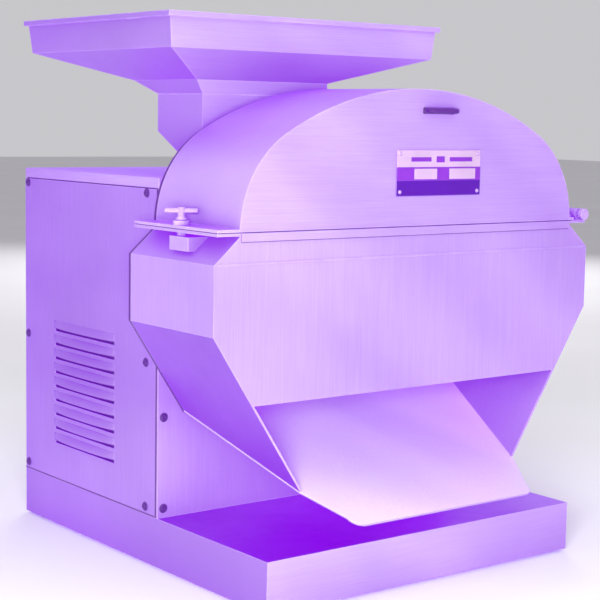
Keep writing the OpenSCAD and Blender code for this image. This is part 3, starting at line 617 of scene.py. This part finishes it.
def punched_sheet(bm, x0, x1, rows, cols, holes):
    """Sheet from x0 to x1 cut by rows (z) and cols (y), without the cells inside a hole (y0, y1, z0, z1)."""
    grid = {}
    for x in (x0, x1):
        for y in cols:
            for z in rows:
                grid[x, y, z] = bm.verts.new((x, y, z))
    cells = set()
    for i in range(len(cols) - 1):
        for j in range(len(rows) - 1):
            y, z = (cols[i] + cols[i + 1]) / 2, (rows[j] + rows[j + 1]) / 2
            if not any(h[0] < y < h[1] and h[2] < z < h[3] for h in holes):
                cells.add((i, j))
    for i, j in cells:
        y_low, y_high, z_low, z_high = cols[i], cols[i + 1], rows[j], rows[j + 1]
        ring = [(y_low, z_low), (y_high, z_low), (y_high, z_high), (y_low, z_high)]
        for x in (x0, x1):
            bm.faces.new([grid[x, y, z] for y, z in ring])
        beyond = [(i, j - 1), (i + 1, j), (i, j + 1), (i - 1, j)]
        for k in range(4):
            if beyond[k] not in cells:
                a, b = ring[k], ring[(k + 1) % 4]
                bm.faces.new([grid[(x0, *a)], grid[(x0, *b)], grid[(x1, *b)], grid[(x1, *a)]])
    for v in [v for v in bm.verts if not v.link_faces]:
        bm.verts.remove(v)


def louvre_hood(bm, place, out):
    """Pressed hood over one slot: open at its lower lip, closing in a curve at the top and at both ends."""
    along, down = 36, 8
    grids = []
    for skin in (0.0, LOUVRE_SHEET):
        grid = []
        for i in range(along + 1):
            u = 2 * i / along - 1
            swell = 1 - abs(u) ** 3
            column = []
            for j in range(down + 1):
                v = j / down
                depth = LOUVRE_DEPTH * swell * math.sin(v * math.pi / 2) ** 1.25 - skin
                proud = out * max(depth, -LOUVRE_ROOT)
                shift = Vector((proud, u * LOUVRE_LENGTH / 2, LOUVRE_H * (1 - v)))
                column.append(bm.verts.new(place + shift))
            grid.append(column)
        grids.append(grid)
    for grid in grids:
        for i in range(along):
            for j in range(down):
                bm.faces.new([grid[i][j], grid[i + 1][j], grid[i + 1][j + 1], grid[i][j + 1]])
    rim = [(i, 0) for i in range(along)] + [(along, j) for j in range(down)]
    rim += [(i, down) for i in range(along, 0, -1)] + [(0, j) for j in range(down, 0, -1)]
    outer, inner = grids
    for (i, j), (k, n) in zip(rim, rim[1:] + rim[:1]):
        bm.faces.new([outer[i][j], outer[k][n], inner[k][n], inner[i][j]])


def add_side_panel(node, out):
    """A cabinet side panel with its pressed louvres; out is +1 on the right side and -1 on the left."""
    low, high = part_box(node)
    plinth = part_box("base_plinth")
    face = plinth[1].x if out > 0 else plinth[0].x
    y0 = low.y + LOUVRE_FROM_FRONT
    y1 = y0 + LOUVRE_LENGTH
    z_low = low.z + LOUVRE_RISE
    louvre_zs = [z_low + i * LOUVRE_PITCH for i in range(LOUVRE_COUNT)]
    hole_y0, hole_y1 = y0 + LOUVRE_LAP, y1 - LOUVRE_LAP
    holes = [(hole_y0, hole_y1, z - LOUVRE_SLOT, z + LOUVRE_H - LOUVRE_LAP) for z in louvre_zs]
    if out > 0:
        box_low, box_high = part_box("switch_box")
        inset = 4 * MM
        holes.append((box_low.y + inset, box_high.y - inset, box_low.z + inset, box_high.z - inset))
    rows = sorted({low.z, high.z, *(h[2] for h in holes), *(h[3] for h in holes)})
    cols = sorted({low.y, high.y, *(h[0] for h in holes), *(h[1] for h in holes)})
    bm = bmesh.new()
    punched_sheet(bm, face, face - out * SHEET, rows, cols, holes)
    panel = add_piece(node + "_sheet", bm, "cabinet_sheet", "root", [node], smooth=False)
    round_edges(panel, 0.4 * MM)
    bm = bmesh.new()
    for z in louvre_zs:
        louvre_hood(bm, Vector((face, (y0 + y1) / 2, z)), out)
    add_piece(node + "_louvres", bm, "louvre_sheet", "root")
    bm = bmesh.new()
    back = face - out * (SHEET + 1.5 * MM)
    x0, x1 = sorted((back, back - out * MM))
    block(bm, (x0, y0 - 5 * MM, z_low - 8 * MM), (x1, y1 + 5 * MM, z_low + LOUVRE_COUNT * LOUVRE_PITCH))
    add_piece(node + "_filter", bm, "dark_trim_and_shade", "root", smooth=False)


# ---------- cover ----------

def add_cover_pull():
    """Bent-rod pull on two small turned feet, in front of a dark backing pad that paints the pull's shadow on
    the cover.
    """
    low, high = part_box("cover_handle")
    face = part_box("upper_cover")[0].y
    r = (high.z - low.z) / 2
    z = (low.z + high.z) / 2
    front = low.y + r
    bend = 4 * MM
    x0, x1 = low.x + r, high.x - r
    foot = face + 1 * MM

    def bent(x, inward):
        """The turn from a leg at x into the bar across the front."""
        centre = Vector((x + inward * bend, front + bend, z))
        return arc(centre, Vector((x, front + bend, z)), Vector((x + inward * bend, front, z)))

    path = [Vector((x0, foot, z)), Vector((x0, front + bend, z)), *bent(x0, 1), *reversed(bent(x1, -1))]
    path += [Vector((x1, foot, z))]
    bm = bmesh.new()
    sweep(bm, path, r, 20)
    for x in (x0, x1):
        lathe(bm, [(0, -0.5 * MM), (1.25 * r, -0.5 * MM), (1.25 * r, 0.5 * MM), (r, 1.4 * MM)],
              facing(-Y, (x, face - 0.4 * MM, z)))
    add_piece("cover_pull", bm, "dark_trim_and_shade", "cover", ["cover_handle"])
    # Painted shadow: a black pad behind the pull, where its shadow falls on the cover.
    bm = bmesh.new()
    pad_half = 3.4 * MM
    end = 1 * MM
    block(bm, (low.x - end, face - 0.8 * MM, z - pad_half), (high.x + end, face + 0.5 * MM, z + pad_half))
    shadow_pad = add_piece("cover_pull_shadow_pad", bm, "black_plastic", "cover", smooth=False)
    round_edges(shadow_pad, 0.5 * MM)


def add_label():
    """Rating plate without lettering: a pale heading, pale boxes on a mid-tone band, and a dark foot."""
    low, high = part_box("label_plate")
    w, h = high.x - low.x, high.z - low.z
    lap = 0.004

    def field(name, finish, u0, u1, v0, v1, proud):
        """Raised field, u across and v down the plate as fractions of it."""
        bm = bmesh.new()
        block(bm, (low.x + u0 * w, low.y - proud, high.z - v1 * h),
              (low.x + u1 * w, low.y + 0.2 * MM, high.z - v0 * h))
        round_edges(add_piece(name, bm, finish, "cover", smooth=False), 0.1 * MM)

    field("label_band", "label_mid", -lap, 1 + lap, 0.37, 0.67, 0.15 * MM)
    field("label_foot", "label_dark", -lap, 1 + lap, 0.67, 1.01, 0.2 * MM)
    field("label_box_left", "label", 0.20, 0.47, 0.41, 0.64, 0.3 * MM)
    field("label_box_right", "label", 0.62, 0.94, 0.41, 0.64, 0.3 * MM)
    field("label_rule_left", "label_mid", 0.16, 0.40, 0.15, 0.25, 0.15 * MM)
    field("label_rule_middle", "label_mid", 0.46, 0.56, 0.13, 0.27, 0.15 * MM)
    field("label_rule_right", "label_mid", 0.62, 0.90, 0.15, 0.25, 0.15 * MM)


def add_gasket():
    """Rubber strip in the joint under the cover, along the front plate and the clamp's flange."""
    low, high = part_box("upper_cover")
    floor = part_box("lower_housing")[1].z
    top = floor + 0.9 * (low.z - floor)
    setback = 0.6 * MM
    end = 4 * MM
    bm = bmesh.new()
    block(bm, (low.x + end, low.y + setback, floor), (high.x - end, low.y + 7 * MM, top))
    block(bm, (low.x + setback, low.y + setback, floor), (low.x + 3.4 * MM, high.y - 1 * MM, top))
    round_edges(add_piece("joint_gasket", bm, "dark_trim_and_shade", "root", smooth=False), 0.1 * MM)


def add_strip_shadow_bead():
    """Painted shadow: a dark bead under the joint strip, where the strip's shadow falls."""
    low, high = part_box("joint_strip")
    bead_h = 0.7 * MM
    bm = bmesh.new()
    block(bm, (low.x, high.y - 0.9 * MM, low.z - bead_h), (high.x, high.y + 0.2 * MM, low.z))
    round_edges(add_piece("strip_shadow_bead", bm, "dark_trim_and_shade", "root", smooth=False), 0.1 * MM)


def add_panel_seals():
    """Dark edging in the gaps at the front and foot of each side panel."""
    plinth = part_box("base_plinth")
    deck = plinth[1].z
    proud, depth = 0.3 * MM, 1.8 * MM
    bm = bmesh.new()
    for out, node in ((-1, "left_side_panel"), (1, "right_side_panel")):
        low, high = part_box(node)
        face = plinth[1].x if out > 0 else plinth[0].x
        x0, x1 = sorted((face + out * proud, face - out * depth))
        corner_y = low.y + 1 * MM
        block(bm, (x0, low.y - 1.9 * MM, deck), (x1, corner_y, high.z))
        block(bm, (x0, corner_y, deck), (x1, high.y, low.z + 0.7 * MM))
    round_edges(add_piece("panel_seals", bm, "dark_trim_and_shade", "root", smooth=False), 0.2 * MM)


# ---------- clamp ----------

def thread(bm, place, length, radius, pitch):
    """Single-start thread upwards from place, with a tapered lead-in and a closed tip."""
    tooth = 0.75 * MM
    lead_in = 1.2 * MM
    taper_h = 1.5 * MM
    steps = int(length / (pitch / 6))
    rings = []
    for k in range(steps + 1):
        z = length * k / steps
        taper = (1 - min(1.0, z / taper_h)) * lead_in
        ring = []
        for a in full_turn(32):
            phase = (z / pitch - a / math.tau) % 1.0
            depth = tooth * abs(2 * phase - 1) + taper
            ring.append(bm.verts.new(place + polar(radius - depth, a, z)))
        rings.append(ring)
    join_all(bm, rings)
    join_rings(bm, rings[0], [bm.verts.new(place)])


def add_clamp():
    """Stud with a cut thread, its turned boss and the plain T-bar."""
    low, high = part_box("clamp_screw")
    middle = (low + high) / 2
    boss_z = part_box("clamp_washer")[1].z
    boss_r = (high.x - low.x) / 2
    neck = 0.66 * boss_r
    h = high.z - boss_z
    bm = bmesh.new()
    thread(bm, Vector((middle.x, middle.y, low.z)), boss_z - low.z, 5 * MM, 1.5 * MM)
    lathe(bm, [(0, 0), (0.94 * boss_r, 0), (boss_r, 0.06 * h), (boss_r, 0.16 * h), (neck, 0.28 * h),
               (neck, 0.95 * h), (0.8 * neck, h), (0, h)],
          Matrix.Translation((middle.x, middle.y, boss_z)))
    add_piece("clamp_stud", bm, "fastener", "clamp_handle", ["clamp_screw"])

    low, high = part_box("clamp_bar")
    bar_r = (high.z - low.z) / 2
    along = Vector((high.x - low.x, low.y - high.y, 0))
    half = (along.length - 2 * bar_r) / 2
    ends = [(0, half), (0.7 * bar_r, half), (bar_r, half - 1.2 * MM)]
    profile = [(r, -z) for r, z in ends] + ends[::-1]
    bm = bmesh.new()
    lathe(bm, profile, facing(along.normalized(), (low + high) / 2))
    add_piece("clamp_tee", bm, "fastener", "clamp_handle", ["clamp_bar"])


# ---------- hopper ----------

def add_hopper_rim():
    """Wired edge rolled round the rim of the tray."""
    low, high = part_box("hopper_tray")
    r = 3 * MM
    z = high.z - r
    corner = 7 * MM
    x0, x1, y0, y1 = low.x + r, high.x - r, low.y + r, high.y - r
    turns = [((x1 - corner, y0 + corner), (0, -1), (1, 0)), ((x1 - corner, y1 - corner), (1, 0), (0, 1)),
             ((x0 + corner, y1 - corner), (0, 1), (-1, 0)), ((x0 + corner, y0 + corner), (-1, 0), (0, -1))]
    path = []
    for c, a, b in turns:
        centre = Vector((*c, z))
        path += arc(centre, centre + corner * Vector((*a, 0)), centre + corner * Vector((*b, 0)))
    bm = bmesh.new()
    sweep(bm, path, r, 16, closed=True)
    add_piece("hopper_rim_wire", bm, "hopper_sheet", "root")


# ---------- feet, gland and buttons ----------

def add_feet():
    """Ribbed rubber pads with a recessed bolt seat."""
    bore = 4.5 * MM
    bm = bmesh.new()
    for low, high in islands("foot_pads"):
        middle = (low + high) / 2
        r, h = (high.x - low.x) / 2, high.z - low.z
        profile = [(bore, 0), (0.5 * r, 0), (0.55 * r, 0.25 * h), (0.7 * r, 0.25 * h), (0.75 * r, 0),
                   (0.95 * r, 0), (r, 0.15 * h), (r, 0.75 * h), (0.95 * r, h), (bore, h), (bore, 0)]
        lathe(bm, profile, Matrix.Translation((middle.x, middle.y, low.z)))
    add_piece("bench_pads", bm, "rubber", "root", ["foot_pads"])


def add_gland():
    """Cable gland with a hexagon collar, a ribbed dome nut and a rubber insert round its open bore."""
    low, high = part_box("cable_gland")
    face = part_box("base_plinth")[1].y
    at = facing(Y, ((low.x + high.x) / 2, face, (low.z + high.z) / 2))
    bore = 5 * MM
    hexagon = 13.6 * MM
    collar_h = 5.6 * MM
    bm = bmesh.new()
    collar = [(bore, 0), (hexagon, 0), (hexagon, 4.5 * MM), (hexagon - 1.2 * MM, collar_h), (bore, collar_h)]
    lathe(bm, collar, at, 6)
    ribs, rib_depth = 16, 0.45 * MM
    rings = []
    for reach, z, ribbed in [(11.6, 5.4, 0), (11.8, 6.0, 1), (11.8, 11.5, 1), (10.6, 14.0, 0), (8.4, 15.6, 0),
                             (6.6, 16.0, 0)]:
        ring = []
        for a in full_turn(96):
            rib = ribbed * rib_depth * (math.cos(ribs * a) - 1)
            ring.append(bm.verts.new(at @ polar(reach * MM + rib, a, z * MM)))
        rings.append(ring)
    join_all(bm, rings)
    add_piece("gland_body", bm, "black_plastic", "root", ["cable_gland"])
    bm = bmesh.new()
    insert_r = 6.7 * MM
    root = -2 * MM
    lathe(bm, [(bore, root), (insert_r, root), (insert_r, 15.6 * MM), (6.0 * MM, 15.9 * MM),
               (bore, 14.8 * MM), (bore, root)], at)
    add_piece("gland_seal", bm, "rubber", "root")


def add_button(node, finish):
    """Button with a rounded rim and a dished cap."""
    low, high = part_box(node)
    r = (high.y - low.y) / 2
    h = high.x - low.x
    at = facing(X, (low.x, (low.y + high.y) / 2, (low.z + high.z) / 2))
    edge = 1.6 * MM
    rim = [(r - edge + edge * math.cos(t), h - edge + edge * math.sin(t)) for t in (0.4, 0.8, 1.2, 1.57)]
    dish = [(0.7 * r, h - 0.5 * MM), (0.35 * r, h - 1.0 * MM), (0, h - 1.2 * MM)]
    bm = bmesh.new()
    lathe(bm, [(0, 0), (r, 0), (r, h - edge), *rim, *dish], at, 48)
    add_piece(node + "_cap", bm, finish, node, [node])


def add_switch_rings():
    """Raised collars round the two buttons."""
    bm = bmesh.new()
    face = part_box("switch_box")[1].x
    gap = 0.4 * MM
    section = [(0, -1), (3, -1), (3, 1.4), (2.2, 2.4), (0.6, 2.4), (0, 1.8), (0, -1)]
    for node in ("start_button", "stop_button"):
        low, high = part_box(node)
        r = (high.y - low.y) / 2 + gap
        at = facing(X, (face, (low.y + high.y) / 2, (low.z + high.z) / 2))
        lathe(bm, [(r + out * MM, z * MM) for out, z in section], at, 56)
    add_piece("switch_rings", bm, "black_plastic", "root")


# ---------- set ----------

def add_floor():
    """A plain pale floor, faintly clouded."""
    m = Surface("floor")
    cloud = m.spread(m.noise((1.5, 1.5, 1.5), 3.0, 0.5), 0.3, 0.7, 0.0, 1.0)
    m.set(Base_Color=m.mix(cloud, (0.86, 0.85, 0.88), (0.90, 0.89, 0.92)), Roughness=0.8)
    half = 15.0
    corners = [(-half, -half, 0), (half, -half, 0), (half, half, 0), (-half, half, 0)]
    mesh = bpy.data.meshes.new("floor")
    mesh.from_pydata(corners, [], [(0, 1, 2, 3)])
    mesh.materials.append(m.mat)
    obj = bpy.data.objects.new("floor", mesh)
    bpy.context.scene.collection.objects.link(obj)


def area_light(name, place, aim, size, power):
    """Square or oblong lamp that the camera doesn't see, turned towards aim."""
    data = bpy.data.lights.new(name, "AREA")
    data.shape = "RECTANGLE"
    data.size, data.size_y = size
    data.energy = power
    obj = bpy.data.objects.new(name, data)
    obj.location = place
    obj.rotation_euler = (Vector(aim) - Vector(place)).to_track_quat("-Z", "Y").to_euler()
    obj.visible_camera = False
    bpy.context.scene.collection.objects.link(obj)
    return obj


def add_world():
    """A studio with a pale backdrop behind the mill, pale overhead and dimmer behind the camera."""
    world = bpy.data.worlds.new("studio")
    world.use_nodes = True
    tree = world.node_tree

    def ramp(value, low, high, to_low, to_high):
        n = tree.nodes.new("ShaderNodeMapRange")
        n.interpolation_type = "SMOOTHSTEP"
        tree.links.new(value, n.inputs["Value"])
        for name, number in (("From Min", low), ("From Max", high), ("To Min", to_low), ("To Max", to_high)):
            n.inputs[name].default_value = number
        return n.outputs["Result"]

    coord = tree.nodes.new("ShaderNodeTexCoord")
    split = tree.nodes.new("ShaderNodeSeparateXYZ")
    tree.links.new(coord.outputs["Generated"], split.inputs[0])
    ahead = tree.nodes.new("ShaderNodeVectorMath")
    ahead.operation = "DOT_PRODUCT"
    tree.links.new(coord.outputs["Generated"], ahead.inputs[0])
    ahead.inputs[1].default_value = (math.sin(CAM_YAW), math.cos(CAM_YAW), 0.0)
    both = tree.nodes.new("ShaderNodeMix")
    tree.links.new(ramp(split.outputs["Z"], 0.1, 0.6, 0.0, 1.0), both.inputs["Factor"])
    tree.links.new(ramp(ahead.outputs["Value"], -0.2, 0.9, 0.16, 0.62), both.inputs["A"])
    both.inputs["B"].default_value = 0.5
    back = tree.nodes["Background"]
    back.inputs["Color"].default_value = (0.93, 0.92, 0.96, 1.0)
    tree.links.new(both.outputs["Result"], back.inputs["Strength"])
    bpy.context.scene.world = world


def add_light():
    """Low key and rear lights that don't mirror in the sheet, and weaker ones above and at the right."""
    key = area_light("key", place=(-1.15, -1.35, 0.42), aim=(0.0, -0.2, 0.3), size=(0.6, 0.5), power=64.0)
    rear = area_light("rear", place=(2.4, 2.9, 1.5), aim=(0.0, 0.1, 0.2), size=(1.6, 1.6), power=45.0)
    key.visible_glossy = rear.visible_glossy = False
    area_light("top", place=(0.1, 0.3, 2.4), aim=(0.0, 0.0, 0.4), size=(1.8, 1.8), power=14.0)
    area_light("right", place=(2.2, -0.6, 1.0), aim=(0.0, 0.0, 0.35), size=(1.2, 1.2), power=2.5)
    bpy.context.scene.view_settings.view_transform = "Standard"


# ---------- build ----------

add_camera()
MATS = make_materials()
dress_cad()
add_panel_screws()
add_side_panel("left_side_panel", -1)
add_side_panel("right_side_panel", 1)
add_cover_pull()
add_label()
add_gasket()
add_strip_shadow_bead()
add_panel_seals()
add_clamp()
add_hopper_rim()
add_feet()
add_gland()
add_button("start_button", "green_plastic")
add_button("stop_button", "red_plastic")
add_switch_rings()
add_floor()
add_world()
add_light()
